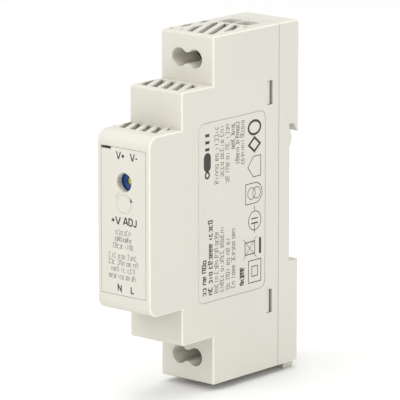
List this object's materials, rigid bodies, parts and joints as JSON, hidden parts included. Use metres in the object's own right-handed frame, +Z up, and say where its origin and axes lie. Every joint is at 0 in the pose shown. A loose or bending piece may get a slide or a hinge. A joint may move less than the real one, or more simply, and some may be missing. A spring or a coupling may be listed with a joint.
{
  "type": "din rail power supply",
  "caption": "Narrow stepped power supply for a 35 mm rail, with vented ledges, screw terminals, a trimmer and a sprung rail latch.",
  "frame": {"origin": "on the front face of the 35 mm rail, midway up the rail and midway across the case", "axes": "+X right seen from the front, +Y back towards the rail, +Z up"},
  "size_m": [0.0176, 0.058, 0.0918],
  "materials": {
    "case_plastic": "fine satin moulding, warm light grey",
    "label_film": "matt printed film",
    "latch_plastic": "satin moulding",
    "spring_steel": "bright drawn wire",
    "board_laminate": "green solder mask",
    "terminal_plastic": "satin moulding",
    "plated_steel": "zinc plated",
    "tinned_copper": "tin plated",
    "trimmer_blue": "semi-gloss",
    "trimmer_yellow": "semi-gloss",
    "fuse_plastic": "moulded cap",
    "disc_blue": "dipped epoxy",
    "disc_green": "dipped epoxy",
    "film_box_yellow": "moulded box",
    "ferrite": "sintered ferrite",
    "enamelled_copper": "enamelled wire",
    "capacitor_sleeve": "shrink sleeve",
    "chip_black": "moulded epoxy",
    "resistor_beige": "lacquer",
    "bobbin_black": "moulded phenolic",
    "winding_tape": "polyester tape",
    "heatsink_aluminium": "mill finish"
  },
  "bodies": {
    "case": {"bleed_resistor": "resistor_beige", "bridge_rectifier": "chip_black", "choke_core": "ferrite", "choke_winding": "enamelled_copper", "circuit_board": "board_laminate", "controller_chip": "chip_black", "diode_heatsink": "heatsink_aluminium", "front_housing": "case_plastic", "front_plate": "case_plastic", "fuse": "fuse_plastic", "input_capacitor": "capacitor_sleeve", "input_line_bar": "tinned_copper", "input_neutral_bar": "tinned_copper", "input_terminal_block": "terminal_plastic", "inrush_thermistor": "disc_green", "latch_spring": "spring_steel", "optocoupler": "chip_black", "output_capacitor_1": "capacitor_sleeve", "output_capacitor_2": "capacitor_sleeve", "output_choke_core": "ferrite", "output_choke_winding": "enamelled_copper", "output_diode": "chip_black", "output_minus_bar": "tinned_copper", "output_plus_bar": "tinned_copper", "output_terminal_block": "terminal_plastic", "rail_base": "case_plastic", "rating_label": "label_film", "surge_varistor": "disc_blue", "transformer_bobbin": "bobbin_black", "transformer_core": "ferrite", "transformer_winding": "winding_tape", "trimmer_body": "trimmer_blue", "x_capacitor": "film_box_yellow", "y_capacitor": "disc_blue"},
    "latch": {"rail_latch": "latch_plastic"},
    "trimmer_rotor": {"trimmer_rotor": "trimmer_yellow"},
    "output_plus_screw": {"output_plus_screw": "plated_steel"},
    "output_plus_cage": {"output_plus_cage": "plated_steel"},
    "output_minus_screw": {"output_minus_screw": "plated_steel"},
    "output_minus_cage": {"output_minus_cage": "plated_steel"},
    "input_line_screw": {"input_line_screw": "plated_steel"},
    "input_line_cage": {"input_line_cage": "plated_steel"},
    "input_neutral_screw": {"input_neutral_screw": "plated_steel"},
    "input_neutral_cage": {"input_neutral_cage": "plated_steel"}
  },
  "joints": [
    {"name": "latch_slide", "type": "slide", "parent": "case", "child": "latch", "axis": [0, 0, -1], "range_m": [0, 0.003], "stiffness_N_per_m": 400, "springref_m": -0.005, "deforming": ["latch_spring"]},
    {"name": "trimmer_turn", "type": "hinge", "parent": "case", "child": "trimmer_rotor", "pos_m": [0.0003, -0.0529, 0.0106], "axis": [0, 1, 0], "range_deg": [-135, 135]},
    {"name": "output_plus_screw_turn", "type": "hinge", "parent": "case", "child": "output_plus_screw", "pos_m": [-0.00254, -0.0206, 0.0386], "axis": [0, 1, 0], "range_deg": [0, 2165]},
    {"name": "output_plus_cage_rise", "type": "slide", "parent": "case", "child": "output_plus_cage", "axis": [0, -1, 0], "range_m": [0, 0.003]},
    {"name": "output_minus_screw_turn", "type": "hinge", "parent": "case", "child": "output_minus_screw", "pos_m": [0.00254, -0.0206, 0.0386], "axis": [0, 1, 0], "range_deg": [0, 2165]},
    {"name": "output_minus_cage_rise", "type": "slide", "parent": "case", "child": "output_minus_cage", "axis": [0, -1, 0], "range_m": [0, 0.003]},
    {"name": "input_line_screw_turn", "type": "hinge", "parent": "case", "child": "input_line_screw", "pos_m": [0.00254, -0.0206, -0.0386], "axis": [0, 1, 0], "range_deg": [0, 2165]},
    {"name": "input_line_cage_rise", "type": "slide", "parent": "case", "child": "input_line_cage", "axis": [0, -1, 0], "range_m": [0, 0.003]},
    {"name": "input_neutral_screw_turn", "type": "hinge", "parent": "case", "child": "input_neutral_screw", "pos_m": [-0.00254, -0.0206, -0.0386], "axis": [0, 1, 0], "range_deg": [0, 2165]},
    {"name": "input_neutral_cage_rise", "type": "slide", "parent": "case", "child": "input_neutral_cage", "axis": [0, -1, 0], "range_m": [0, 0.003]}
  ],
  "couplings": [
    {"joint": "output_plus_screw_turn", "follows": "output_plus_cage_rise", "rad_per_m": 12566},
    {"joint": "output_minus_screw_turn", "follows": "output_minus_cage_rise", "rad_per_m": 12566},
    {"joint": "input_line_screw_turn", "follows": "input_line_cage_rise", "rad_per_m": 12566},
    {"joint": "input_neutral_screw_turn", "follows": "input_neutral_cage_rise", "rad_per_m": 12566}
  ]
}
